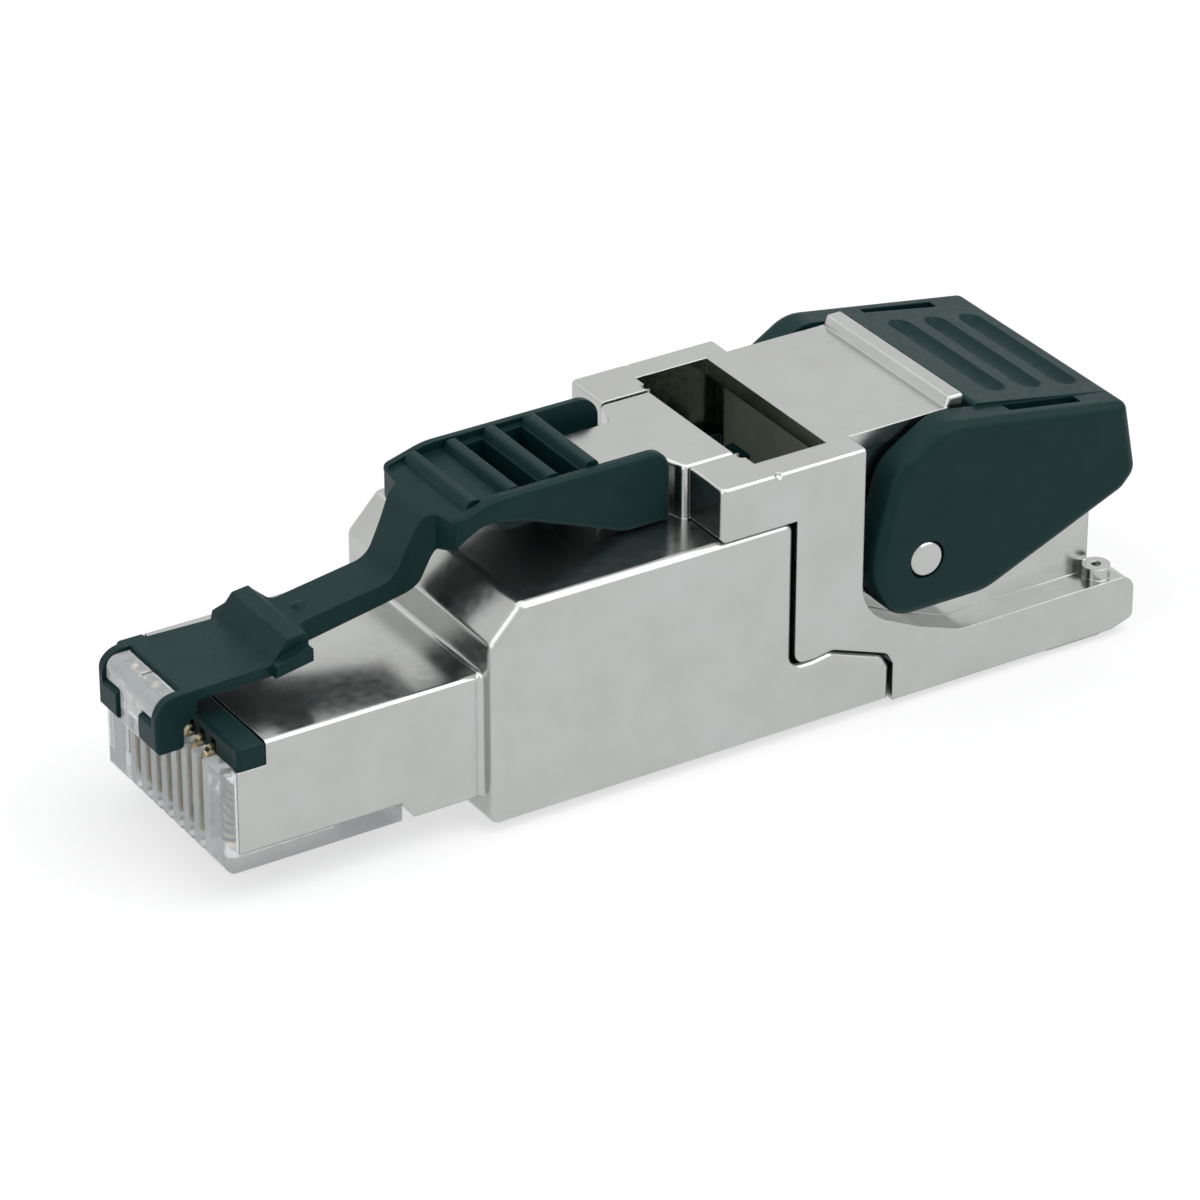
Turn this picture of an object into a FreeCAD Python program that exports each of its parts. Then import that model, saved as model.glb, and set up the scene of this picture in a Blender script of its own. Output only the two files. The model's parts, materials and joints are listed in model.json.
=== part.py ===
import FreeCAD, Part
import math
import os

os.makedirs("parts", exist_ok=True)

# Field termination plug, eight contacts, all sizes in millimetres.
# X runs from the plug's nose to its cable end, Y across, Z up.
# While the pieces are made, x = 0 is the clear nose's front face and z = 0 the housing's underside.
# The origin is moved to the middle of the underside when the pieces are written.

# Plug nose
nose_width = 11.68
nose_top = 7.70
nose_bottom = 1.35
shell_front = 0.68
shell_lower_edge = 2.27
shell_wall = 0.45
shell_tab_start = 9.10
shell_tab_run = 0.60
shell_tab_round = 0.18
nose_edge_round = 0.25

# Front housing
body_front = 13.40
body_width = 13.42
body_top = 11.26
body_shoulder = 9.50
body_slope_run = 1.66
body_wall = 0.90
body_edge_round = 0.45
nose_root_round = 0.28
body_rear_round = 0.50
body_foot_round = 0.48
shoulder_round = 0.50

# Raised island on top of the front housing
island_height = 2.78
island_front = 21.90
island_neck_half = 2.10
island_neck_end = 25.15
island_flare_run = 0.50
island_half = 3.72
island_rear = 28.42
island_plan_round = 0.30
island_edge_round = 0.22

# Joint line between the two housings
joint_gap = 0.12
joint_wall_x = 29.92
joint_step_x = 31.00
joint_step_z = 3.60
joint_crest_x = 32.05
joint_crest_z = 3.76
joint_slope_x = 35.20
joint_slope_z = 2.62
joint_end_x = 35.57
joint_end_z = 1.96
joint_corner_round = 0.60

# Rear housing
arm_front = 25.80
island_side_gap = 0.13
arm_edge_round = 0.22
arm_corner_round = 0.30
tab_relief_radius = 0.28
edge_nick_x = 28.92
edge_nick_radius = 0.24
window_front = 28.53
window_rear = 32.56
window_half = 5.17
rear_wall_end = 33.75
arm_foot_round = 0.20
top_plate_half = 5.20
top_plate_end = 39.28
top_plate_thickness = 0.90
lip_length = 1.04
lip_height = 0.52
lip_front_run = 0.22
lip_round = 0.16
tray_wall_outer = 5.12
tray_wall_thickness = 0.78
tray_wall_end = 48.10
tray_wall_end_top = 6.60
tray_wall_end_round = 1.00
tray_floor = 1.20
tray_front = 32.95
rail_top = 2.73
rail_start = 39.50
rail_end = 49.84
rail_nose_round = 0.80
rail_end_round = 0.30
rail_run_round = 1.50
scoop_front_z = 5.20
scoop_z = 3.60
scoop_x = 37.10
scoop_round = 2.60
tray_foot_front = 45.00
tray_foot_drop = 0.41
tray_foot_rear_run = 1.54
tray_foot_slope = 0.30
tray_foot_round = 0.15
tray_foot_inset = 0.50
stub_x = 48.22
stub_y = 5.75
stub_radius = 0.70
stub_height = 0.60
stub_round = 0.15
stub_hole_radius = 0.24
stub_hole_depth = 0.35

# Pivot of the clamp lever
pivot_x = 37.10
pivot_z = 7.44
pivot_radius = 0.92
pivot_clearance = 0.06
pivot_end_chamfer = 0.12

# Clamp lever
cheek_gap = 0.30
cheek_thickness = 1.75
cheek_edge_round = 0.55
cheek_front = 34.22
cheek_front_z = 6.84
cheek_brow_x = 34.30
cheek_brow_z = 8.44
cheek_crown_x = 35.22
cheek_crown_z = 12.44
cheek_top_x = 38.20
cheek_top_z = 14.27
cheek_front_round = 2.20
cheek_chin_x = 35.42
cheek_bottom = 4.58
cheek_chin_round = 1.60
cheek_belly_round = 3.00
lever_top_front = 14.17
lever_top_front_x = 40.10
lever_top_rear = 12.58
lever_tail_x = 48.69
lever_tail_round = 0.45
lever_tip_x = 49.42
lever_tip_z = 8.75
lever_tip_round = 0.90
lever_belly_x = 40.70
lever_belly_rear_x = 48.63
lever_belly_rear_z = 7.89
lever_plate_start = 40.62
lever_plate_thickness = 1.10
lever_plate_round = 0.25
lever_apron_depth = 2.30
lever_apron_thickness = 1.20
lever_apron_run = 0.35
pad_start = 43.00
pad_half = 3.95
tooth_count = 3
tooth_pitch = 1.35
tooth_depth = 2.30
tooth_front_run = 0.40
tooth_rear_run = 0.35
tooth_round = 0.15
grip_groove_count = 3
grip_groove_first = 43.05
grip_groove_pitch = 2.10
grip_groove_half = 4.60
grip_groove_radius = 0.80
grip_groove_depth = 0.36
cheek_slot_start = 42.20
cheek_slot_length = 4.20
cheek_slot_width = 0.70
cheek_slot_depth = 1.60
cheek_slot_inset = 1.19

# Latch lever
prong_front = -1.72
prong_bottom = 6.63
prong_half = 2.84
prong_gap_half = 1.08
prong_wall = 0.48
prong_wall_end = 0.40
prong_wall_step_x = -0.32
prong_wall_step_z = 7.60
prong_wall_rear_z = 8.25
prong_hook_depth = 0.77
prong_hook_top = 8.00
prong_top_round = 1.15
prong_round = 0.20
latch_plate_front = -0.25
latch_plate_half = 2.62
latch_plate_top = 9.38
latch_plate_bottom = 8.82
latch_plate_taper_end = 3.78
latch_round = 0.12
ramp_foot = 4.28
ramp_top = 5.16
ridge_end = 6.02
ridge_top = 10.56
ridge_front_drop = 0.10
ridge_rear_run = 0.25
shoulder_half = 3.10
shoulder_front = 4.25
shoulder_end = 6.22
shoulder_top = 10.00
shoulder_ramp_drop = 0.50
shoulder_flat = 0.30
neck_half = 1.32
neck_start = 6.47
neck_side_round = 0.40
neck_thickness = 1.10
neck_front_top = 10.28
neck_rear_top = 11.10
riser_foot = 11.48
riser_foot_round = 1.20
riser_flare_start = 12.28
riser_flare_round = 2.00
riser_top_x = 12.85
riser_top_round = 0.90
riser_under_drop = 0.60
riser_neck_drop = 0.75
riser_top_half = 1.70
riser_side_run = 0.55
riser_top_drop = 0.42
button_half = 3.45
button_front = 13.62
button_front_run = 0.60
button_corner_round = 0.40
button_front_top = 14.42
button_rise = 0.36
button_thickness = 0.80
skirt_thickness = 0.50
skirt_rear = 25.05
skirt_rise = 0.60
skirt_front_run = 2.10
skirt_front_round = 3.50
skirt_rear_round = 1.05
skirt_foot_round = 0.15
skirt_foot_front = 22.60
skirt_foot_gap = 0.06
skirt_arch_front_drop = 0.48
skirt_arch_x = 17.30
skirt_arch_drop = 1.02
skirt_arch_front_run = 1.00
skirt_arch_front_round = 0.50
skirt_arch_round = 5.00
skirt_arch_rear_round = 1.20
skirt_edge_round = 0.22
rib_count = 4
rib_first = 14.87
rib_pitch = 2.10
rib_width = 0.90
rib_top_width = 0.50
rib_height = 0.44
rib_half = 2.80
rib_round = 0.20
rib_rear_margin = 0.01
button_slot_count = 2
button_slot_gap = 0.06
button_slot_inset = 0.15
button_pad_drop = 1.50
button_pad_floor = 0.35
latch_pip_x = 7.20
latch_pip_radius = 0.32
latch_pip_height = 0.16

# Clear latch tongue
tongue_front = -1.52
tongue_top = 9.22
tongue_round = 1.05
tongue_stem_thickness = 0.85
tongue_stem_round = 0.40
tongue_stem_rise = 0.45
tongue_edge_round = 0.10
tongue_clearance = 0.06
tongue_end = 0.40
tongue_root_low = 5.85
tongue_slit_half = 0.06
tongue_slit_depth = 0.30
tongue_slit_start = -0.92

# Contacts, pitch and wire of a modular plug
contact_count = 8
contact_pitch = 1.02
contact_width = 0.34
contact_thickness = 0.30
contact_run_z = 1.95
contact_rise = 2.45
contact_front_x = 0.42
contact_tip_z = 6.80
contact_tip_x = 1.55
contact_knee_x = 6.00
contact_heel_x = 8.60
contact_tail_x = 11.80
contact_bend = 0.45
slot_clearance = 0.08
slot_bend_room = 0.20

# Clear contact carrier and black comb
carrier_end = 12.60
carrier_side_gap = 0.03
carrier_front_round = 0.45
comb_front = 0.72
comb_rear = 2.15
comb_bottom = 6.50
comb_corner_round = 0.18
comb_edge_round = 0.20
comb_groove_end = 1.70
comb_groove_top = 7.20

# Circuit board
board_thickness = 1.00
board_half = 4.90
board_front = 10.00
board_rear = 22.60
board_clearance = 0.03
board_corner_round = 0.40

# Insulation displacement block and blades
block_front = 20.60
block_rear = 23.90
block_half = 5.50
block_bottom = 0.95
block_top = 10.00
block_corner_round = 0.40
blade_columns = 4
blade_pitch = 2.50
blade_width = 1.80
blade_thickness = 0.40
blade_root = 22.70
blade_tip = 26.60
blade_slot_width = 0.35
blade_slot_depth = 2.20
blade_mouth_flare = 0.25
blade_mouth_depth = 0.50
blade_round = 0.10
blade_upper_z = 8.00
blade_lower_z = 2.90

# Wire manager
manager_front = 24.00
manager_rear = 32.90
manager_half = 4.95
manager_top = 10.20
manager_floor_gap = 0.15
manager_corner_round = 0.60
manager_bore_radius = 2.60
manager_bore_depth = 5.20
manager_pocket_gap = 0.12
manager_groove_width = 1.05
manager_groove_depth = 1.30
manager_groove_lead = 0.80
manager_end_gap = 0.12

# Braid contact spring
spring_front = 34.60
spring_length = 3.60
spring_thickness = 0.30
spring_top = 6.40
spring_seat_gap = 0.02
spring_bend = 0.75
spring_end_round = 0.10

body_half = body_width / 2
nose_half = nose_width / 2
top_plane = body_top + island_height
board_bottom = contact_run_z + contact_rise
arm_inner_half = island_half + island_side_gap
rib_last = rib_first + (rib_count - 1) * rib_pitch
button_rear = rib_last + rib_width / 2 + rib_rear_margin
button_rear_top = button_front_top + button_rise
riser_top_z = button_front_top - riser_top_drop
skirt_top = button_front_top + skirt_rise
manager_bottom = body_wall + manager_floor_gap
tray_wall_inner = tray_wall_outer - tray_wall_thickness
top_plate_bottom = top_plane - top_plate_thickness
cheek_inner = tray_wall_outer + cheek_gap
cheek_outer = cheek_inner + cheek_thickness
cheek_slot_y = cheek_outer - cheek_slot_inset
carrier_half = nose_half - shell_wall - carrier_side_gap
far = 100.0
near_limit = 0.01


def tangent_corner(before, corner, after, radius):
    """Start, middle and end of the arc that rounds a corner between two straight runs."""
    a = (before - corner).normalize()
    b = (after - corner).normalize()
    half = a.getAngle(b) / 2
    reach = radius / math.tan(half)
    longest = 0.49 * min((before - corner).Length, (after - corner).Length)
    if reach > longest:
        reach = longest
        radius = reach * math.tan(half)
    middle = corner + (a + b).normalize() * (radius / math.sin(half) - radius)
    return corner + a * reach, middle, corner + b * reach


def outline(points, place):
    """Closed face through points (u, v) or (u, v, radius); place turns (u, v) into a vector."""
    corners = [place(p[0], p[1]) for p in points]
    radii = [p[2] if len(p) > 2 else 0.0 for p in points]
    count = len(corners)
    edges = []
    starts = []
    ends = []
    for i in range(count):
        if radii[i] > 0:
            after = corners[(i + 1) % count]
            first, middle, last = tangent_corner(corners[i - 1], corners[i], after, radii[i])
            edges.append(Part.Arc(first, middle, last).toShape())
        else:
            first = last = corners[i]
        starts.append(first)
        ends.append(last)
    for i in range(count):
        a = ends[i]
        b = starts[(i + 1) % count]
        if (b - a).Length > 1e-6:
            edges.append(Part.makeLine(a, b))
    return Part.Face(Part.Wire(Part.__sortEdges__(edges)))


def side_slab(points, y_low, y_high):
    """Side profile in X and Z, given its width in Y."""
    face = outline(points, lambda x, z: FreeCAD.Vector(x, y_low, z))
    return face.extrude(FreeCAD.Vector(0, y_high - y_low, 0))


def side_body(points, half):
    """Side profile made equally wide on both sides of the middle."""
    return side_slab(points, -half, half)


def plan_slab(points, z_low, z_high):
    """Plan outline in X and Y, given its height."""
    face = outline(points, lambda x, y: FreeCAD.Vector(x, y, z_low))
    return face.extrude(FreeCAD.Vector(0, 0, z_high - z_low))


def section_slab(points, x_low, x_high):
    """Cross-section in Y and Z, given its length along X."""
    face = outline(points, lambda y, z: FreeCAD.Vector(x_low, y, z))
    return face.extrude(FreeCAD.Vector(x_high - x_low, 0, 0))


def block(x_low, x_high, y_low, y_high, z_low, z_high):
    corner = FreeCAD.Vector(x_low, y_low, z_low)
    return Part.makeBox(x_high - x_low, y_high - y_low, z_high - z_low, corner)


def mirrored(half_points):
    """Plan outline of a symmetric piece from the points on its +Y side, front to rear."""
    other = [(p[0], -p[1]) + tuple(p[2:]) for p in reversed(half_points)]
    return list(half_points) + other


def both_sides(shape):
    """The shape and its mirror image across the middle plane."""
    return [shape, shape.mirror(FreeCAD.Vector(0, 0, 0), FreeCAD.Vector(0, 1, 0))]


def near(value, wanted):
    return abs(value - wanted) < near_limit


def at_side(centre, half):
    """Whether a point lies on either side face of a piece this half width."""
    return near(abs(centre.y), half)


def lengthwise(direction):
    return abs(direction.x) > 0.99


def edge_centre(edge):
    return edge.valueAt((edge.FirstParameter + edge.LastParameter) / 2)


def rounded(shape, radius, wanted):
    """Fillet the edges that wanted(centre, direction) picks."""
    picked = []
    for edge in shape.Edges:
        span = edge.valueAt(edge.LastParameter) - edge.valueAt(edge.FirstParameter)
        if span.Length > 1e-4 and wanted(edge_centre(edge), span.normalize()):
            picked.append(edge)
    return shape.makeFillet(radius, picked) if picked else shape


def ribbon(path, thickness):
    """Side outline of a strip of even thickness that follows corners (x, z, radius)."""
    nodes = [FreeCAD.Vector(p[0], 0, p[1]) for p in path]
    sides = {1: [], -1: []}
    for i, node in enumerate(nodes):
        runs = []
        if i > 0:
            runs.append((node - nodes[i - 1]).normalize())
        if i < len(nodes) - 1:
            runs.append((nodes[i + 1] - node).normalize())
        normals = [FreeCAD.Vector(-r.z, 0, r.x) for r in runs]
        mean = (normals[0] + normals[-1]).normalize()
        stretch = 1 / mean.dot(normals[0])
        turn = 0.0
        if len(runs) == 2:
            turn = math.copysign(1, runs[0].x * runs[1].z - runs[0].z * runs[1].x)
        for side in sides:
            spot = node + mean * (side * stretch * thickness / 2)
            bend = max(0.0, path[i][2] - side * turn * thickness / 2)
            sides[side].append((spot.x, spot.z, bend if len(runs) == 2 else 0.0))
    return sides[1] + sides[-1][::-1]


def column_places(count, pitch):
    return [(i - (count - 1) / 2) * pitch for i in range(count)]


def joint_line(shift):
    """Staircase where the housings meet, from the top down, moved off the line by shift."""
    return [
        (joint_wall_x + shift, joint_step_z + shift, joint_corner_round),
        (joint_step_x + shift, joint_step_z + shift, joint_corner_round / 2),
        (joint_crest_x + shift, joint_crest_z + shift, joint_corner_round),
        (joint_slope_x + shift, joint_slope_z + shift, joint_corner_round),
        (joint_end_x + shift, joint_end_z + shift, joint_corner_round / 3),
    ]


def nose_shell():
    """Shielding tube of the nose, open in front and below for the clear carrier."""
    outer = side_body([
        (shell_front, shell_lower_edge),
        (shell_tab_start, shell_lower_edge, shell_tab_round),
        (shell_tab_start + shell_tab_run, nose_bottom, shell_tab_round),
        (body_front + body_wall, nose_bottom),
        (body_front + body_wall, nose_top),
        (comb_rear + joint_gap / 4, nose_top),
        (comb_rear + joint_gap / 4, comb_bottom),
        (shell_front, comb_bottom),
    ], nose_half)
    return rounded(outer, nose_edge_round, lambda c, d: lengthwise(d) and at_side(c, nose_half)
                   and near(c.z, nose_top))


def island():
    """Raised island that the rear housing's arms and the latch skirts close round."""
    plan = mirrored([
        (island_front, island_neck_half, island_plan_round),
        (island_neck_end, island_neck_half, island_plan_round),
        (island_neck_end + island_flare_run, island_half, island_plan_round),
        (island_rear, island_half, island_plan_round / 2),
    ])
    raised = plan_slab(plan, body_top - body_wall, top_plane)
    return rounded(raised, island_edge_round, lambda c, d: near(c.z, top_plane))


def front_housing():
    """Cast body with the nose shell, the raised island and the hollow for the inner pieces."""
    body = side_body([
        (body_front, 0, body_foot_round),
        (body_front, body_shoulder, shoulder_round),
        (body_front + body_slope_run, body_top, shoulder_round),
        (joint_wall_x - joint_gap / 2, body_top, body_rear_round),
    ] + joint_line(-joint_gap / 2) + [(joint_end_x - joint_gap / 2, 0)], body_half)
    body = rounded(body, body_edge_round, lambda c, d: at_side(c, body_half)
                   and c.x < joint_wall_x - joint_gap and c.z > joint_crest_z)
    body = rounded(body, body_foot_round, lambda c, d: at_side(c, body_half) and lengthwise(d)
                   and near(c.z, 0))
    solid = body.fuse([nose_shell(), island()]).removeSplitter()
    solid = rounded(solid, nose_root_round, lambda c, d: near(c.x, body_front)
                    and abs(c.y) <= nose_half + near_limit and nose_bottom < c.z <= nose_top + near_limit)
    wall_x = body_front + body_wall
    wall_y = body_half - body_wall
    hollow = block(wall_x, far, -wall_y, wall_y, body_wall, body_top - body_wall)
    bore_half = nose_half - shell_wall
    bore_top = nose_top - shell_wall
    nose_hollow = block(-far, wall_x + body_wall, -bore_half, bore_half, nose_bottom + shell_wall, bore_top)
    carrier_mouth = block(-far, shell_tab_start, -bore_half, bore_half, 0, bore_top)
    comb_mouth = block(-far, comb_rear + joint_gap / 4, -far, far, comb_bottom, far)
    return solid.cut([hollow, nose_hollow, carrier_mouth, comb_mouth]).removeSplitter()


def contact_path():
    return [
        (contact_tail_x, board_bottom - contact_thickness / 2, 0),
        (contact_heel_x, board_bottom - contact_thickness / 2, contact_bend),
        (contact_knee_x, contact_run_z, contact_bend),
        (contact_front_x, contact_run_z, contact_bend),
        (contact_front_x, contact_tip_z, contact_bend),
        (contact_tip_x, contact_tip_z, 0),
    ]


def contact(y):
    """One spring contact: tail under the board, run along the bottom, up the front and back."""
    half = contact_width / 2
    return side_slab(ribbon(contact_path(), contact_thickness), y - half, y + half)


def contact_slot(y):
    """Slot round one contact, open to the front and to the underside."""
    half = contact_width / 2 + slot_clearance
    upper = contact_thickness / 2 + slot_clearance
    return side_slab([
        (-1, nose_bottom - 1),
        (contact_knee_x + upper, nose_bottom - 1),
        (contact_knee_x + upper, contact_run_z - upper),
        (contact_heel_x + upper, board_bottom - contact_thickness - slot_clearance),
        (carrier_end + 1, board_bottom - contact_thickness - slot_clearance),
        (carrier_end + 1, board_bottom + slot_clearance),
        (contact_heel_x - upper, board_bottom + slot_clearance),
        (contact_knee_x - upper, contact_run_z + upper),
        (contact_front_x + upper + slot_bend_room, contact_run_z + upper),
        (contact_front_x + upper + slot_bend_room, comb_bottom + 1),
        (-1, comb_bottom + 1),
    ], y - half, y + half)


def contact_carrier():
    """Clear nose insert: flush with the shell below and in front, slotted for the contacts."""
    inside = nose_top - shell_wall - carrier_side_gap
    gap = carrier_side_gap
    core = side_body([
        (0, nose_bottom),
        (shell_tab_start - gap, nose_bottom),
        (shell_tab_start - gap, nose_bottom + shell_wall + gap),
        (carrier_end, nose_bottom + shell_wall + gap),
        (carrier_end, inside),
        (comb_rear + joint_gap / 4 + gap, inside),
        (comb_rear + joint_gap / 4 + gap, comb_bottom - gap),
        (0, comb_bottom - gap),
    ], carrier_half)
    front = block(0, shell_front - gap, -nose_half, nose_half, nose_bottom, comb_bottom - gap)
    skirt = block(0, shell_tab_start - gap, -nose_half, nose_half, nose_bottom, shell_lower_edge - gap)
    carrier = core.fuse([front, skirt]).removeSplitter()
    carrier = rounded(carrier, carrier_front_round, lambda c, d: near(c.x, 0)
                      and (near(c.z, nose_bottom) or at_side(c, nose_half)))
    slots = [contact_slot(y) for y in column_places(contact_count, contact_pitch)]
    board_room = block(board_front - board_clearance, far, -board_half - board_clearance,
                       board_half + board_clearance, board_bottom, board_bottom + board_thickness)
    return carrier.cut(slots + [board_room])


def contact_comb():
    """Black bar across the nose that keeps the contact tips apart."""
    plan = mirrored([
        (comb_front, nose_half, comb_corner_round),
        (comb_rear, nose_half, comb_corner_round / 2),
    ])
    bar = plan_slab(plan, comb_bottom, nose_top)
    bar = rounded(bar, comb_edge_round, lambda c, d: near(c.z, nose_top))
    half = contact_width / 2 + slot_clearance
    grooves = [block(-1, comb_groove_end, y - half, y + half, comb_bottom - 1, comb_groove_top)
               for y in column_places(contact_count, contact_pitch)]
    return bar.cut(grooves)


def circuit_board():
    plan = mirrored([
        (board_front, board_half, board_corner_round),
        (board_rear, board_half, board_corner_round),
    ])
    return plan_slab(plan, board_bottom, board_bottom + board_thickness)


def blade_places():
    """Centre of each insulation displacement blade, lower row first."""
    columns = column_places(blade_columns, blade_pitch)
    return [(y, z) for z in (blade_lower_z, blade_upper_z) for y in columns]


def idc_blade(y, z):
    """Forked blade that cuts through a wire's insulation."""
    half = blade_width / 2
    slot = blade_slot_width / 2
    mouth = slot + blade_mouth_flare
    return plan_slab([
        (blade_root, y - half, blade_round),
        (blade_root, y + half, blade_round),
        (blade_tip, y + half, blade_round),
        (blade_tip, y + mouth, blade_round),
        (blade_tip - blade_mouth_depth, y + slot),
        (blade_tip - blade_slot_depth, y + slot, slot),
        (blade_tip - blade_slot_depth, y - slot, slot),
        (blade_tip - blade_mouth_depth, y - slot),
        (blade_tip, y - mouth, blade_round),
        (blade_tip, y - half, blade_round),
    ], z - blade_thickness / 2, z + blade_thickness / 2)


def blade_room(x_low, x_high, y, z, gap):
    """Room for one blade's shank between two places along X, with a gap all round."""
    half_width = blade_width / 2 + gap
    half_depth = blade_thickness / 2 + gap
    return block(x_low, x_high, y - half_width, y + half_width, z - half_depth, z + half_depth)


def idc_block():
    """Black block that carries the board's end and the eight blades."""
    body = block(block_front, block_rear, -block_half, block_half, block_bottom, block_top)
    body = rounded(body, block_corner_round, lambda c, d: lengthwise(d))
    board_slot = block(block_front - 1, board_rear, -board_half, board_half, board_bottom,
                       board_bottom + board_thickness)
    seats = [blade_room(blade_root, block_rear + 1, y, z, 0) for y, z in blade_places()]
    return body.cut([board_slot] + seats)


def wire_manager():
    """Loading piece: blade pockets in front, wire grooves on top and below, cable bore behind."""
    body = section_slab([
        (-manager_half, manager_bottom, manager_corner_round),
        (manager_half, manager_bottom, manager_corner_round),
        (manager_half, manager_top, manager_corner_round),
        (-manager_half, manager_top, manager_corner_round),
    ], manager_front, manager_rear)
    gap = manager_pocket_gap
    pockets = [blade_room(manager_front - 1, blade_tip + gap, y, z, gap) for y, z in blade_places()]
    middle = (manager_bottom + manager_top) / 2
    bore = Part.makeCylinder(manager_bore_radius, manager_bore_depth + 1,
                             FreeCAD.Vector(manager_rear + 1, 0, middle), FreeCAD.Vector(-1, 0, 0))
    groove_front = blade_tip - manager_groove_lead
    grooves = []
    for y in column_places(blade_columns, blade_pitch):
        left = y - manager_groove_width / 2
        right = y + manager_groove_width / 2
        grooves.append(block(groove_front, far, left, right, manager_top - manager_groove_depth, far))
        grooves.append(block(groove_front, far, left, right, 0, manager_bottom + manager_groove_depth))
    return body.cut(pockets + [bore] + grooves)


def rear_shell():
    """Side walls, arms, scoop for the lever's cheeks and rails, as one broad profile."""
    start = joint_line(joint_gap / 2)
    points = [
        (arm_front, body_top + joint_gap / 2, arm_foot_round),
        (arm_front, top_plane),
        (rear_wall_end, top_plane),
        (rear_wall_end, scoop_front_z, scoop_round),
        (scoop_x, scoop_z, scoop_round),
        (rail_start, rail_top, rail_run_round),
        (rail_end, rail_top, rail_nose_round),
        (rail_end, tray_foot_drop, rail_end_round),
        (rail_end - tray_foot_rear_run + tray_foot_slope, 0, rail_end_round),
        (joint_end_x + joint_gap / 2, 0),
    ] + start[::-1] + [(joint_wall_x + joint_gap / 2, body_top + joint_gap / 2)]
    shell = side_body(points, body_half)
    corners = plan_slab(mirrored([(arm_front, body_half, arm_corner_round), (far, body_half)]), -far, far)
    shell = shell.common(corners)
    return rounded(shell, arm_edge_round, lambda c, d: at_side(c, body_half) and near(c.z, top_plane))


def tray_wall_outline():
    """Inner wall of the cable tray: up to the top plate in front, sloping down to the rear."""
    start = manager_rear + manager_end_gap
    return [
        (start, tray_floor / 2),
        (tray_wall_end, tray_floor / 2),
        (tray_wall_end, tray_wall_end_top, tray_wall_end_round),
        (top_plate_end + lip_length / 2, top_plate_bottom),
        (start, top_plane - top_plate_thickness / 2),
    ]


def top_plate():
    """Plate over the cable tray, which ends in a raised lip across its full width."""
    plate = block(window_rear, top_plate_end, -top_plate_half, top_plate_half, top_plate_bottom, top_plane)
    lip_end = top_plate_end + lip_length
    lip = side_body([
        (top_plate_end - lip_front_run, top_plate_bottom),
        (top_plate_end - lip_front_run, top_plane),
        (top_plate_end, top_plane),
        (top_plate_end + lip_front_run, top_plane + lip_height, lip_round),
        (lip_end, top_plane + lip_height, lip_round),
        (lip_end, top_plate_bottom),
    ], top_plate_half)
    lip = rounded(lip, lip_round, lambda c, d: at_side(c, top_plate_half) and c.z > top_plane)
    return plate.fuse(lip)


def pivot_boss():
    """Boss on the +Y side that the clamp lever turns on, as long as its cheek is wide."""
    boss = Part.makeCylinder(pivot_radius, cheek_outer - tray_wall_inner,
                             FreeCAD.Vector(pivot_x, tray_wall_inner, pivot_z), FreeCAD.Vector(0, 1, 0))
    rim = [edge for edge in boss.Edges if near(edge_centre(edge).y, cheek_outer)]
    return boss.makeChamfer(pivot_end_chamfer, rim)


def rail_stub():
    """Small round stub with a blind hole near the end of the +Y rail."""
    top = rail_top + stub_height
    stub = Part.makeCylinder(stub_radius, top - tray_floor, FreeCAD.Vector(stub_x, stub_y, tray_floor))
    return rounded(stub, stub_round, lambda c, d: near(c.z, top))


def tray_foot():
    return side_body([
        (tray_foot_front, tray_floor / 2),
        (tray_foot_front, -tray_foot_drop, tray_foot_round),
        (rail_end - tray_foot_rear_run, -tray_foot_drop, tray_foot_round),
        (rail_end - tray_foot_rear_run + tray_foot_slope, tray_floor / 2),
    ], body_half - tray_foot_inset)


def tray_wall():
    """Wall on the +Y side of the tray, clear of the front housing's floor that reaches in below it."""
    wall = side_slab(tray_wall_outline(), tray_wall_inner, tray_wall_outer)
    return wall.cut(block(0, joint_end_x + joint_gap, -far, far, -far, body_wall + 2 * joint_gap))


def rear_housing():
    """Cast rear shell: arms, window, top plate with its lip, cable tray, rails and pivot bosses."""
    rooms = [
        block(window_front, window_rear, -window_half, window_half, -far, far),
        block(0, window_rear, -arm_inner_half, arm_inner_half, -far, far),
        block(window_front, rear_wall_end + 1, -window_half, window_half, -far, top_plate_bottom),
        block(0, joint_wall_x, -far, far, -far, body_top + joint_gap / 2),
        block(tray_front, far, -tray_wall_outer, tray_wall_outer, tray_floor, far),
    ]
    shell = rear_shell().cut(rooms)
    additions = [top_plate(), tray_foot()]
    for half_piece in (tray_wall(), pivot_boss(), rail_stub()):
        additions += both_sides(half_piece)
    relief = Part.makeCylinder(tab_relief_radius, 2 * far,
                               FreeCAD.Vector(window_front, arm_inner_half + tab_relief_radius, -far))
    nick = Part.makeSphere(edge_nick_radius, FreeCAD.Vector(edge_nick_x, body_half, top_plane))
    stub_hole = Part.makeCylinder(stub_hole_radius, far,
                                  FreeCAD.Vector(stub_x, stub_y, rail_top + stub_height - stub_hole_depth))
    cuts = both_sides(relief) + both_sides(nick) + both_sides(stub_hole)
    return shell.fuse(additions).removeSplitter().cut(cuts)


def lever_top_line(x):
    """Height of the clamp lever's sloping top."""
    slope = (lever_top_rear - lever_top_front) / (lever_tail_x - lever_top_front_x)
    return lever_top_front + slope * (x - lever_top_front_x)


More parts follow.
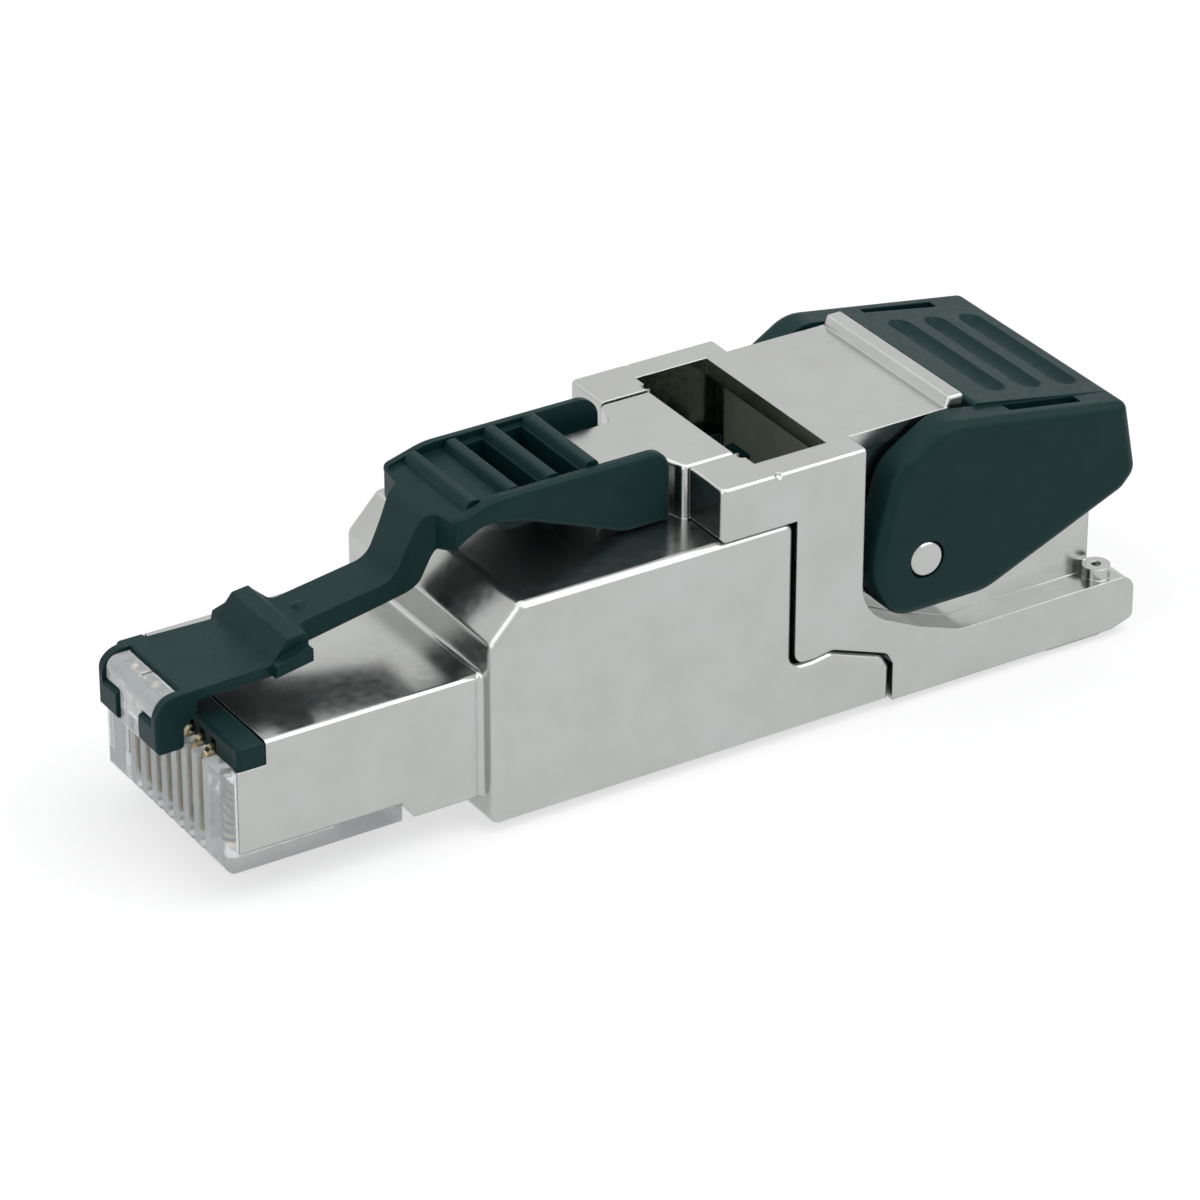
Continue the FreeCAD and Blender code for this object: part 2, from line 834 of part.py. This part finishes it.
def cheek_outline():
    """Side outline of the clamp lever's cheeks."""
    return [
        (cheek_front, cheek_front_z, cheek_front_round),
        (cheek_brow_x, cheek_brow_z, cheek_front_round),
        (cheek_crown_x, cheek_crown_z, cheek_front_round),
        (cheek_top_x, cheek_top_z, cheek_front_round),
        (lever_tail_x, lever_top_rear, lever_tail_round),
        (lever_tip_x, lever_tip_z, lever_tip_round),
        (lever_belly_rear_x, lever_belly_rear_z, lever_tip_round),
        (lever_belly_x, cheek_bottom, cheek_belly_round),
        (cheek_chin_x, cheek_bottom, cheek_chin_round),
    ]


def lever_plate():
    """Sloping top plate of the clamp lever with the apron down its rear."""
    start = lever_plate_start
    apron_x = lever_tail_x + lever_apron_run
    apron_z = lever_top_rear - lever_apron_depth
    return side_body([
        (start, lever_top_line(start), lever_plate_round),
        (lever_tail_x, lever_top_rear, lever_tail_round),
        (apron_x, apron_z, lever_plate_round),
        (apron_x - lever_apron_thickness, apron_z, lever_plate_round),
        (lever_tail_x - lever_apron_thickness, lever_top_rear - lever_plate_thickness, lever_plate_round),
        (start, lever_top_line(start) - lever_plate_thickness, lever_plate_round),
    ], cheek_inner + cheek_gap / 2)


def clamp_tooth(x):
    """One ridge across the underside of the lever's plate that bites the cable."""
    root = lever_top_line(x) - lever_plate_thickness / 2
    tip = lever_top_line(x) - lever_plate_thickness - tooth_depth
    return side_body([
        (x, root),
        (x + tooth_front_run, tip, tooth_round),
        (x + tooth_pitch - tooth_rear_run, tip, tooth_round),
        (x + tooth_pitch, root),
    ], pad_half)


def grip_groove(x):
    """Cutter for one shallow groove with round ends across the lever's plate."""
    centre_z = lever_top_line(x) + grip_groove_radius - grip_groove_depth
    half = grip_groove_half - grip_groove_radius
    trough = Part.makeCylinder(grip_groove_radius, 2 * half, FreeCAD.Vector(x, -half, centre_z),
                               FreeCAD.Vector(0, 1, 0))
    ends = [Part.makeSphere(grip_groove_radius, FreeCAD.Vector(x, y, centre_z)) for y in (-half, half)]
    return [trough] + ends


def clamp_lever():
    """Black lever: two cheeks on the pivot bosses, grooved top plate and teeth for the cable."""
    cheek = side_slab(cheek_outline(), cheek_inner, cheek_outer)
    cheek = rounded(cheek, cheek_edge_round, lambda c, d: near(c.y, cheek_outer))
    teeth = [clamp_tooth(pad_start + i * tooth_pitch) for i in range(tooth_count)]
    lever = lever_plate().fuse(both_sides(cheek) + teeth).removeSplitter()
    bore = Part.makeCylinder(pivot_radius + pivot_clearance, 2 * far, FreeCAD.Vector(pivot_x, -far, pivot_z),
                             FreeCAD.Vector(0, 1, 0))
    slot_end = cheek_slot_start + cheek_slot_length
    slot = block(cheek_slot_start, slot_end, cheek_slot_y - cheek_slot_width / 2,
                 cheek_slot_y + cheek_slot_width / 2, lever_top_line(slot_end) - cheek_slot_depth, far)
    cuts = [bore] + both_sides(slot)
    for i in range(grip_groove_count):
        cuts += grip_groove(grip_groove_first + i * grip_groove_pitch)
    return lever.cut(cuts)


def latch_prong():
    """Side wall and inward hook on the lever's +Y side, which hold the clear tongue's head."""
    wall = side_slab([
        (prong_front, prong_bottom, prong_round),
        (prong_front, latch_plate_top, prong_top_round),
        (ramp_foot, latch_plate_top),
        (ramp_foot, latch_plate_bottom),
        (prong_wall_end, latch_plate_bottom, prong_round),
        (prong_wall_end, prong_wall_rear_z, prong_round),
        (prong_wall_step_x, prong_wall_step_z, prong_round),
        (prong_wall_step_x, prong_bottom, prong_round),
    ], prong_half - prong_wall, prong_half)
    hook_rear = prong_front + prong_hook_depth
    hook = side_slab([
        (prong_front, prong_bottom, prong_round),
        (prong_front, prong_hook_top, prong_round),
        (hook_rear, prong_hook_top, prong_round / 2),
        (hook_rear, prong_bottom, prong_round),
    ], prong_gap_half, prong_half)
    return wall.fuse(hook)


def latch_strip():
    """Side profile of the plate, ridge, neck, riser and button plate as one bent strip."""
    under_button = (button_front_top + button_rear_top) / 2 - button_thickness
    under_neck_front = neck_front_top - neck_thickness
    under_neck_rear = neck_rear_top - neck_thickness
    return side_body([
        (latch_plate_front, latch_plate_bottom, latch_round),
        (latch_plate_front, latch_plate_top, latch_round),
        (ramp_foot, latch_plate_top, latch_round),
        (ramp_top, ridge_top - ridge_front_drop, latch_round),
        (ridge_end, ridge_top, latch_round),
        (ridge_end + ridge_rear_run, neck_front_top, latch_round),
        (riser_foot, neck_rear_top, riser_foot_round),
        (riser_top_x, riser_top_z, riser_top_round),
        (button_front + button_front_run, button_front_top, riser_top_round),
        (button_rear, button_rear_top, latch_round),
        (button_rear, button_rear_top - button_thickness, latch_round),
        (button_front + 2 * button_front_run, under_button, riser_top_round),
        (riser_top_x + riser_top_round, under_button - riser_under_drop, riser_top_round),
        (riser_foot + neck_thickness, neck_rear_top - riser_neck_drop, riser_foot_round),
        (riser_foot - riser_under_drop, under_neck_rear, riser_foot_round),
        (neck_start, under_neck_front, neck_side_round),
        (ramp_foot, latch_plate_bottom, neck_side_round),
    ], far)


def latch_plan():
    """Plan of the lever from its prongs to the button's rear edge."""
    return plan_slab(mirrored([
        (prong_front, prong_half, prong_round),
        (latch_plate_taper_end, latch_plate_half, neck_side_round),
        (ridge_end + ridge_rear_run, latch_plate_half, latch_round),
        (neck_start, neck_half, neck_side_round),
        (riser_flare_start, neck_half, riser_flare_round),
        (riser_top_x + riser_side_run, riser_top_half, neck_side_round),
        (button_front, button_half, button_corner_round),
        (button_rear, button_half, latch_round),
    ]), -far, far)


def latch_skirt():
    """Skirt on the button's +Y side, arched below, with a flat foot at the rear."""
    foot = body_top + skirt_foot_gap
    arch_front = button_front_top - skirt_arch_front_drop
    skirt = side_slab([
        (button_front, arch_front, latch_round),
        (button_front, button_front_top, button_corner_round),
        (button_front + skirt_front_run, skirt_top, skirt_front_round),
        (skirt_rear, skirt_top, skirt_rear_round),
        (skirt_rear, foot, skirt_foot_round),
        (skirt_foot_front, foot, skirt_arch_rear_round),
        (skirt_arch_x, button_front_top - skirt_arch_drop, skirt_arch_round),
        (button_front + skirt_arch_front_run, arch_front, skirt_arch_front_round),
    ], button_half - skirt_thickness, button_half)
    return rounded(skirt, skirt_edge_round, lambda c, d: near(c.y, button_half) and c.z > arch_front)


def latch_shoulders():
    """Step that stands out on both sides of the ridge."""
    return side_body([
        (shoulder_front, latch_plate_bottom + latch_round),
        (shoulder_front + latch_round, shoulder_top - shoulder_ramp_drop, latch_round),
        (shoulder_end - shoulder_flat, shoulder_top, latch_round),
        (shoulder_end, shoulder_top, latch_round),
        (shoulder_end, neck_front_top - neck_thickness + latch_round),
    ], shoulder_half)


def button_rib(x):
    """Rib across the button's sloping top."""
    slope = (button_rear_top - button_front_top) / (button_rear - button_front)
    base = button_front_top + slope * (x - button_front)
    return side_body([
        (x - rib_width / 2, base - button_thickness / 2),
        (x - rib_width / 2, base),
        (x - rib_top_width / 2, base + rib_height, rib_round),
        (x + rib_top_width / 2, base + rib_height, rib_round),
        (x + rib_width / 2, base),
        (x + rib_width / 2, base - button_thickness / 2),
    ], rib_half)


def latch_pip():
    """Flat dome on the neck, just behind the ridge."""
    share = (latch_pip_x - ridge_end) / (riser_foot - ridge_end)
    neck_top = neck_front_top + share * (neck_rear_top - neck_front_top)
    ball = (latch_pip_radius ** 2 + latch_pip_height ** 2) / (2 * latch_pip_height)
    return Part.makeSphere(ball, FreeCAD.Vector(latch_pip_x, 0, neck_top + latch_pip_height - ball))


def latch_lever():
    """Black latch lever with shoulders, thin neck and the ribbed button between two skirts."""
    core = latch_strip().fuse(both_sides(latch_prong())).common(latch_plan())
    ribs = [button_rib(rib_first + i * rib_pitch) for i in range(rib_count)]
    pad_front = rib_last - button_slot_count * rib_pitch - rib_width / 2
    pad_bottom = button_front_top - button_pad_drop
    pad = block(pad_front, button_rear, -rib_half, rib_half, pad_bottom, button_front_top - button_thickness / 2)
    lever = core.fuse(both_sides(latch_skirt()) + [latch_shoulders(), pad] + ribs)
    slot_half = rib_half - button_slot_inset
    slot_reach = (rib_pitch - rib_width) / 2 - button_slot_gap
    slot_floor = pad_bottom + button_pad_floor
    slots = []
    for i in range(button_slot_count):
        middle = rib_last - (i + 0.5) * rib_pitch
        slots.append(block(middle - slot_reach, middle + slot_reach, -slot_half, slot_half, slot_floor, far))
    return lever.cut(slots).fuse(latch_pip()).removeSplitter()


def latch_tongue():
    """Clear living hinge: a stem up from the nose's front, and a wide head between the lever's walls."""
    gap = tongue_clearance
    low = prong_hook_top + gap
    edge = tongue_edge_round
    head = side_body([
        (tongue_front, low, edge),
        (tongue_front, tongue_top, tongue_round),
        (latch_plate_front - gap, tongue_top, edge / 2),
        (latch_plate_front - gap, latch_plate_bottom - gap, edge / 2),
        (tongue_end, latch_plate_bottom - gap, edge),
        (tongue_end, low, edge),
    ], prong_half - prong_wall - gap)
    stem_rear = tongue_front + tongue_stem_thickness
    stem_top = (low + tongue_top) / 2
    stem = side_body([
        (0, tongue_root_low),
        (tongue_front, tongue_root_low + tongue_stem_rise, tongue_stem_round),
        (tongue_front, stem_top),
        (stem_rear, stem_top),
        (stem_rear, comb_bottom + tongue_stem_round, tongue_stem_round),
        (0, comb_bottom - carrier_side_gap),
    ], prong_gap_half - gap)
    slit = block(tongue_slit_start, latch_plate_front, -tongue_slit_half, tongue_slit_half,
                 tongue_top - tongue_slit_depth, far)
    return head.fuse(stem).removeSplitter().cut(slit)


def shield_spring():
    """U-shaped spring in the tray that touches the cable's braid."""
    inner = tray_wall_inner - spring_seat_gap
    floor = tray_floor + spring_seat_gap
    t = spring_thickness
    bend = spring_bend
    tip = spring_end_round
    return section_slab([
        (-inner, spring_top, tip),
        (-inner, floor, bend + t / 2),
        (inner, floor, bend + t / 2),
        (inner, spring_top, tip),
        (inner - t, spring_top, tip),
        (inner - t, floor + t, bend - t / 2),
        (-inner + t, floor + t, bend - t / 2),
        (-inner + t, spring_top, tip),
    ], spring_front, spring_front + spring_length)


pieces = {
    "front_housing": front_housing(),
    "rear_housing": rear_housing(),
    "contact_carrier": contact_carrier(),
    "contact_comb": contact_comb(),
    "circuit_board": circuit_board(),
    "idc_block": idc_block(),
    "wire_manager": wire_manager(),
    "shield_spring": shield_spring(),
    "latch_tongue": latch_tongue(),
    "latch_lever": latch_lever(),
    "clamp_lever": clamp_lever(),
}
for number, y in enumerate(column_places(contact_count, contact_pitch), 1):
    pieces["contact_%d" % number] = contact(y)
for number, (y, z) in enumerate(blade_places(), 1):
    pieces["idc_blade_%d" % number] = idc_blade(y, z)

to_origin = FreeCAD.Vector(-(prong_front + rail_end) / 2, 0, tray_foot_drop)
for name, shape in pieces.items():
    placed = shape.copy()
    placed.translate(to_origin)
    placed.exportStep("parts/%s.step" % name)
    print(name, "solids", len(placed.Solids), "valid", placed.isValid(), "volume %.2f" % placed.Volume)
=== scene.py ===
import json
import math

import bpy
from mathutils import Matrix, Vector

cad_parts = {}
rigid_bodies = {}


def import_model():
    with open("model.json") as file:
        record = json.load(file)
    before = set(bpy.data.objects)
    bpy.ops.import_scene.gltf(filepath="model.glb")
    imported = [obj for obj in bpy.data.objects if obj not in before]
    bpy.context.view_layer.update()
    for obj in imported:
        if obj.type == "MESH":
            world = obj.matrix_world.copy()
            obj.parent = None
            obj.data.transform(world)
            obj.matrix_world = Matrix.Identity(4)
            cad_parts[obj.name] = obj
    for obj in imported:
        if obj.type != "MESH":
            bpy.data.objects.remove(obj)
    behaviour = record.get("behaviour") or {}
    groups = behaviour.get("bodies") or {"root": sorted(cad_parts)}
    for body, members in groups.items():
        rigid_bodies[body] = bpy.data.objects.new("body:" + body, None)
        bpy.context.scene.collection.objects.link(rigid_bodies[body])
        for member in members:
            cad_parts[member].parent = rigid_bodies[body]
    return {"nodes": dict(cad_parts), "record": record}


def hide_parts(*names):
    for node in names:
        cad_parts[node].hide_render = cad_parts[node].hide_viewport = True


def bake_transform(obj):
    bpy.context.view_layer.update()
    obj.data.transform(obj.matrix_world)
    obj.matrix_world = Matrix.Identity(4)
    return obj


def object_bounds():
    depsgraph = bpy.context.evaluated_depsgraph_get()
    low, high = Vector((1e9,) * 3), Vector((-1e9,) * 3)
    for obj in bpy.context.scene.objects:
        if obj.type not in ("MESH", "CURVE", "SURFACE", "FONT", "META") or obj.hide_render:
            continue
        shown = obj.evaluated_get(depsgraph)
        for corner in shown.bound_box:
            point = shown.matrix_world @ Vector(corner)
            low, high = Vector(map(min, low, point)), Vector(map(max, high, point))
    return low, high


bpy.ops.object.select_all(action="SELECT")
bpy.ops.object.delete()
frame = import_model()
cad_low, cad_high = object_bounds()

MM = 0.001

# Camera
CAMERA_AZIMUTH = math.radians(-31.88)
CAMERA_ELEVATION = math.radians(29.20)
CAMERA_DISTANCE = 264.5 * MM
CAMERA_TARGET = Vector((-0.72, 0.0, 6.32)) * MM
CAMERA_NEAREST = 10 * MM
SENSOR_WIDTH = 36.0
LENS = 168.1

# Edge radii, rounded in the shading
METAL_EDGE = 0.10 * MM
PLASTIC_EDGE = 0.10 * MM
CLEAR_EDGE = 0.06 * MM
EDGE_SAMPLES = 6

# Boxes inside the rear housing's window and channel, where the nickel gets a darker olive tone as
# painted shade: the middle and half size of each
WINDOW_SHADE_BOX = (Vector((7.10, 0.0, 9.46)) * MM, Vector((2.66, 5.19, 4.96)) * MM)
CHANNEL_SHADE_BOX = (Vector((12.38, 0.0, 9.46)) * MM, Vector((2.62, 4.36, 4.96)) * MM)

# Stage: the floor lies a little under the foot, so that the two faces don't flicker
FLOOR_SIZE = 1.0
FLOOR_GAP = 0.02 * MM
FLOOR_WHITE_SHARE = 0.62
ROOM_STRENGTH = 0.55
WHITE_STRENGTH = 1.0
SEEN_RAYS = ["Is Camera Ray", "Is Glossy Ray", "Is Transmission Ray"]

# Colours, linear
NICKEL = (0.482, 0.494, 0.484)
NICKEL_WARM = (0.455, 0.462, 0.450)
# Painted shade: darker olive nickel for the window and channel inside the rear housing
PAINTED_SHADE_NICKEL = (0.255, 0.285, 0.238)
PAINTED_SHADE_NICKEL_PALE = (0.285, 0.315, 0.268)
BLACK = (0.0028, 0.0150, 0.0158)
BLACK_WORN = (0.0050, 0.0200, 0.0208)
BLACK_SHEEN = (0.70, 1.0, 0.97)
CLEAR = (0.78, 0.82, 0.83)
CLEAR_LIGHT = (0.84, 0.87, 0.875)
GOLD = (0.72, 0.58, 0.36)
GOLD_LIGHT = (0.80, 0.66, 0.44)
BOARD = (0.01, 0.09, 0.045)
BOARD_LIGHT = (0.014, 0.12, 0.06)
TIN = (0.60, 0.58, 0.55)
TIN_LIGHT = (0.66, 0.64, 0.60)
FLOOR = (0.86, 0.86, 0.86)
FLOOR_LIGHT = (0.88, 0.88, 0.88)
ROOM = (0.97, 0.985, 1.0)
BACKDROP = (1.0, 1.0, 1.0)


class Nodes:
    """Short way of building one material's node tree."""

    def __init__(self, name):
        self.material = bpy.data.materials.new(name)
        self.material.use_nodes = True
        self.tree = self.material.node_tree
        self.shader = self.tree.nodes["Principled BSDF"]
        self.place = self.add("ShaderNodeTexCoord").outputs["Object"]

    def add(self, kind, **settings):
        node = self.tree.nodes.new(kind)
        for name, value in settings.items():
            setattr(node, name, value)
        return node

    def link(self, output, target):
        self.tree.links.new(output, target)

    def noise(self, grain, detail=3.0, roughness=0.55):
        """Noise with grains of about that size, in metres."""
        node = self.add("ShaderNodeTexNoise")
        node.inputs["Scale"].default_value = 1.0 / grain
        node.inputs["Detail"].default_value = detail
        node.inputs["Roughness"].default_value = roughness
        self.link(self.place, node.inputs["Vector"])
        return node.outputs["Fac"]

    def ramp(self, factor, low, high, start=0.3, end=0.7):
        """One colour or number up to start, another from end, and a blend between them."""
        node = self.add("ShaderNodeValToRGB")
        for point, position, value in zip(node.color_ramp.elements, (start, end), (low, high)):
            point.position = position
            colour = (value, value, value) if isinstance(value, float) else value
            point.color = (*colour, 1.0)
        self.link(factor, node.inputs["Fac"])
        return node.outputs["Color"]

    def bump(self, height, distance, before):
        """Normal that a height field tilts, over the normal from before."""
        node = self.add("ShaderNodeBump")
        node.inputs["Strength"].default_value = 1.0
        node.inputs["Distance"].default_value = distance
        self.link(height, node.inputs["Height"])
        self.link(before, node.inputs["Normal"])
        return node.outputs["Normal"]

    def soft_edges(self, radius):
        """Normal that rounds the sharp edges of whatever the material is on."""
        node = self.add("ShaderNodeBevel", samples=EDGE_SAMPLES)
        node.inputs["Radius"].default_value = radius
        return node.outputs["Normal"]

    def inside(self, middle, half):
        """1 within a box in the object's own space, else 0."""
        split = self.add("ShaderNodeSeparateXYZ")
        self.link(self.place, split.inputs[0])
        within = []
        for axis, centre, reach in zip("XYZ", middle, half):
            test = self.add("ShaderNodeMath", operation="COMPARE")
            self.link(split.outputs[axis], test.inputs[0])
            test.inputs[1].default_value = centre
            test.inputs[2].default_value = reach
            within.append(test.outputs[0])
        return self.joined("MINIMUM", self.joined("MINIMUM", within[0], within[1]), within[2])

    def joined(self, operation, first, second):
        """Result of one Math node on two sockets."""
        node = self.add("ShaderNodeMath", operation=operation)
        self.link(first, node.inputs[0])
        self.link(second, node.inputs[1])
        return node.outputs[0]

    def mixed(self, factor, low, high):
        """The colour low at factor 0 and the colour high at factor 1, both from sockets."""
        node = self.add("ShaderNodeMixRGB")
        self.link(factor, node.inputs["Fac"])
        self.link(low, node.inputs["Color1"])
        self.link(high, node.inputs["Color2"])
        return node.outputs["Color"]

    def set(self, name, value):
        """Gives an input of the shader a socket or a plain value."""
        target = self.shader.inputs[name]
        if isinstance(value, bpy.types.NodeSocket):
            self.link(value, target)
        else:
            target.default_value = value


def nickel():
    """Satin nickel on a zinc casting: fine blasted grain over faint casting waves, with painted shade
    in the window and channel of the rear housing.
    """
    patch_grain = 2.6 * MM
    satin_grain = 0.5 * MM
    wave_grain = 2.4 * MM
    wave_depth = 0.006 * MM
    blast_grain = 0.09 * MM
    blast_depth = 0.0020 * MM
    n = Nodes("nickel_plating")
    n.set("Metallic", 1.0)
    patches = n.noise(patch_grain, detail=4.0)
    plating = n.ramp(patches, NICKEL_WARM, NICKEL, start=0.35, end=0.65)
    # Painted shade: inside the window and channel boxes the nickel turns darker olive, standing in
    # for the shade there
    painted_shade = n.ramp(patches, PAINTED_SHADE_NICKEL, PAINTED_SHADE_NICKEL_PALE, start=0.35, end=0.65)
    shade_mask = n.joined("MAXIMUM", n.inside(*WINDOW_SHADE_BOX), n.inside(*CHANNEL_SHADE_BOX))
    n.set("Base Color", n.mixed(shade_mask, plating, painted_shade))
    n.set("Roughness", n.ramp(n.noise(satin_grain, detail=5.0), 0.18, 0.25))
    waves = n.bump(n.noise(wave_grain, detail=2.0), wave_depth, n.soft_edges(METAL_EDGE))
    n.set("Normal", n.bump(n.noise(blast_grain, detail=2.0), blast_depth, waves))
    return n.material


def black_plastic():
    """Matt moulded plastic with a fine spark-eroded grain."""
    patch_grain = 1.4 * MM
    gloss_grain = 0.35 * MM
    spark_grain = 0.07 * MM
    spark_depth = 0.0030 * MM
    n = Nodes("black_plastic")
    n.set("Base Color", n.ramp(n.noise(patch_grain, detail=5.0), BLACK, BLACK_WORN, end=0.75))
    n.set("Roughness", n.ramp(n.noise(gloss_grain, detail=4.0), 0.38, 0.48))
    n.set("Specular IOR Level", 0.14)
    n.set("Specular Tint", (*BLACK_SHEEN, 1.0))
    n.set("Normal", n.bump(n.noise(spark_grain, detail=2.0), spark_depth, n.soft_edges(PLASTIC_EDGE)))
    return n.material


def clear_plastic():
    """Clear polycarbonate with flow marks and a faint blue-grey cast."""
    patch_grain = 2.0 * MM
    gloss_grain = 0.6 * MM
    flow_grain = 0.8 * MM
    flow_depth = 0.025 * MM
    n = Nodes("clear_plastic")
    n.set("Base Color", n.ramp(n.noise(patch_grain), CLEAR, CLEAR_LIGHT))
    n.set("Transmission Weight", 0.74)
    n.set("IOR", 1.45)
    n.set("Roughness", n.ramp(n.noise(gloss_grain, detail=4.0), 0.05, 0.13))
    n.set("Normal", n.bump(n.noise(flow_grain), flow_depth, n.soft_edges(CLEAR_EDGE)))
    return n.material


def gold():
    """Pale gold flash on drawn spring wire."""
    patch_grain = 0.8 * MM
    gloss_grain = 0.2 * MM
    n = Nodes("gold_plating")
    n.set("Metallic", 1.0)
    n.set("Base Color", n.ramp(n.noise(patch_grain), GOLD, GOLD_LIGHT))
    n.set("Roughness", n.ramp(n.noise(gloss_grain), 0.16, 0.26))
    return n.material


def board_green():
    """Solder mask with a faint mottle."""
    patch_grain = 0.5 * MM
    gloss_grain = 0.3 * MM
    n = Nodes("board_green")
    n.set("Base Color", n.ramp(n.noise(patch_grain, detail=4.0), BOARD, BOARD_LIGHT))
    n.set("Roughness", n.ramp(n.noise(gloss_grain), 0.30, 0.42))
    return n.material


def spring_metal():
    """Tinned spring sheet."""
    patch_grain = 0.9 * MM
    gloss_grain = 0.2 * MM
    n = Nodes("spring_metal")
    n.set("Metallic", 1.0)
    n.set("Base Color", n.ramp(n.noise(patch_grain, detail=4.0), TIN, TIN_LIGHT))
    n.set("Roughness", n.ramp(n.noise(gloss_grain, detail=4.0), 0.28, 0.42))
    return n.material


materials = {
    "nickel_plating": nickel(),
    "black_plastic": black_plastic(),
    "clear_plastic": clear_plastic(),
    "gold_plating": gold(),
    "board_green": board_green(),
    "spring_metal": spring_metal(),
}
slot_of = {part["node"]: part["material_slot"] for part in frame["record"]["subparts"]}

for node, obj in frame["nodes"].items():
    for holder in obj.material_slots:
        holder.material = materials[slot_of[node]]


def bending_tongue():
    """The clear tongue as a copy of its mesh in place, with the CAD tongue hidden."""
    mesh = frame["nodes"]["latch_tongue"].data.copy()
    tongue = bpy.data.objects.new("bending_tongue", mesh)
    bpy.context.scene.collection.objects.link(tongue)
    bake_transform(tongue)
    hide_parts("latch_tongue")


bending_tongue()


def seen_rays(tree):
    """1 for a ray that the camera sends, straight, mirrored or let through, else 0."""
    light_path = tree.nodes.new("ShaderNodeLightPath")
    total = light_path.outputs[SEEN_RAYS[0]]
    for kind in SEEN_RAYS[1:]:
        either = tree.nodes.new("ShaderNodeMath")
        either.operation = "MAXIMUM"
        tree.links.new(total, either.inputs[0])
        tree.links.new(light_path.outputs[kind], either.inputs[1])
        total = either.outputs[0]
    return total


def floor_material():
    """Pale floor that keeps the shadow and reads near white to the camera and in reflections."""
    patch_grain = 40 * MM
    n = Nodes("studio_floor")
    n.set("Base Color", n.ramp(n.noise(patch_grain, detail=2.0), FLOOR, FLOOR_LIGHT))
    n.set("Roughness", 0.8)
    n.set("Specular IOR Level", 0.1)
    share = n.add("ShaderNodeMath", operation="MULTIPLY")
    n.link(seen_rays(n.tree), share.inputs[0])
    share.inputs[1].default_value = FLOOR_WHITE_SHARE
    white = n.add("ShaderNodeEmission")
    white.inputs["Strength"].default_value = WHITE_STRENGTH
    mix = n.add("ShaderNodeMixShader")
    n.link(share.outputs[0], mix.inputs[0])
    n.link(n.shader.outputs[0], mix.inputs[1])
    n.link(white.outputs[0], mix.inputs[2])
    n.link(mix.outputs[0], n.tree.nodes["Material Output"].inputs["Surface"])
    return n.material


def floor():
    """Flat square floor under the object."""
    half = FLOOR_SIZE / 2
    mesh = bpy.data.meshes.new("floor")
    corners = [(-half, -half, 0), (half, -half, 0), (half, half, 0), (-half, half, 0)]
    mesh.from_pydata(corners, [], [(0, 1, 2, 3)])
    panel = bpy.data.objects.new("floor", mesh)
    bpy.context.scene.collection.objects.link(panel)
    panel.location = (0, 0, cad_low.z - FLOOR_GAP)
    panel.data.materials.append(floor_material())


floor()


def studio_world():
    """Plain room light on the object, and a white backdrop for the rays that the camera sends."""
    world = bpy.data.worlds.new("studio")
    bpy.context.scene.world = world
    world.use_nodes = True
    tree = world.node_tree
    room = tree.nodes["Background"]
    room.inputs["Color"].default_value = (*ROOM, 1.0)
    room.inputs["Strength"].default_value = ROOM_STRENGTH
    backdrop = tree.nodes.new("ShaderNodeBackground")
    backdrop.inputs["Color"].default_value = (*BACKDROP, 1.0)
    backdrop.inputs["Strength"].default_value = WHITE_STRENGTH
    choice = tree.nodes.new("ShaderNodeMixShader")
    tree.links.new(seen_rays(tree), choice.inputs[0])
    tree.links.new(room.outputs[0], choice.inputs[1])
    tree.links.new(backdrop.outputs[0], choice.inputs[2])
    tree.links.new(choice.outputs[0], tree.nodes["World Output"].inputs["Surface"])


studio_world()


def direction(azimuth, elevation):
    """Unit vector; azimuth 0 looks from -Y, and turns towards +X."""
    flat = math.cos(elevation)
    return Vector((math.sin(azimuth) * flat, -math.cos(azimuth) * flat, math.sin(elevation)))


def aim(obj, place):
    """Puts a lamp or camera in its place, turned to the object."""
    bpy.context.scene.collection.objects.link(obj)
    obj.location = place
    obj.rotation_euler = (CAMERA_TARGET - place).to_track_quat("-Z", "Y").to_euler()


def softbox(name, size, power, distance, azimuth, elevation):
    """Square lamp that looks at the object from azimuth and elevation, in degrees."""
    light = bpy.data.lights.new(name, "AREA")
    light.shape = "SQUARE"
    light.size = size
    light.energy = power
    way = direction(math.radians(azimuth), math.radians(elevation))
    aim(bpy.data.objects.new(name, light), CAMERA_TARGET + distance * way)


softbox("key", size=0.60, power=2.5, distance=0.6, azimuth=40, elevation=55)
softbox("top", size=0.90, power=2.2, distance=0.7, azimuth=-120, elevation=70)
softbox("nose", size=0.50, power=0.8, distance=0.6, azimuth=-80, elevation=20)

camera_data = bpy.data.cameras.new("camera")
camera_data.sensor_width = SENSOR_WIDTH
camera_data.lens = LENS
camera_data.clip_start = CAMERA_NEAREST
camera = bpy.data.objects.new("camera", camera_data)
aim(camera, CAMERA_TARGET + CAMERA_DISTANCE * direction(CAMERA_AZIMUTH, CAMERA_ELEVATION))
bpy.context.scene.camera = camera
bpy.context.scene.view_settings.view_transform = "Standard"
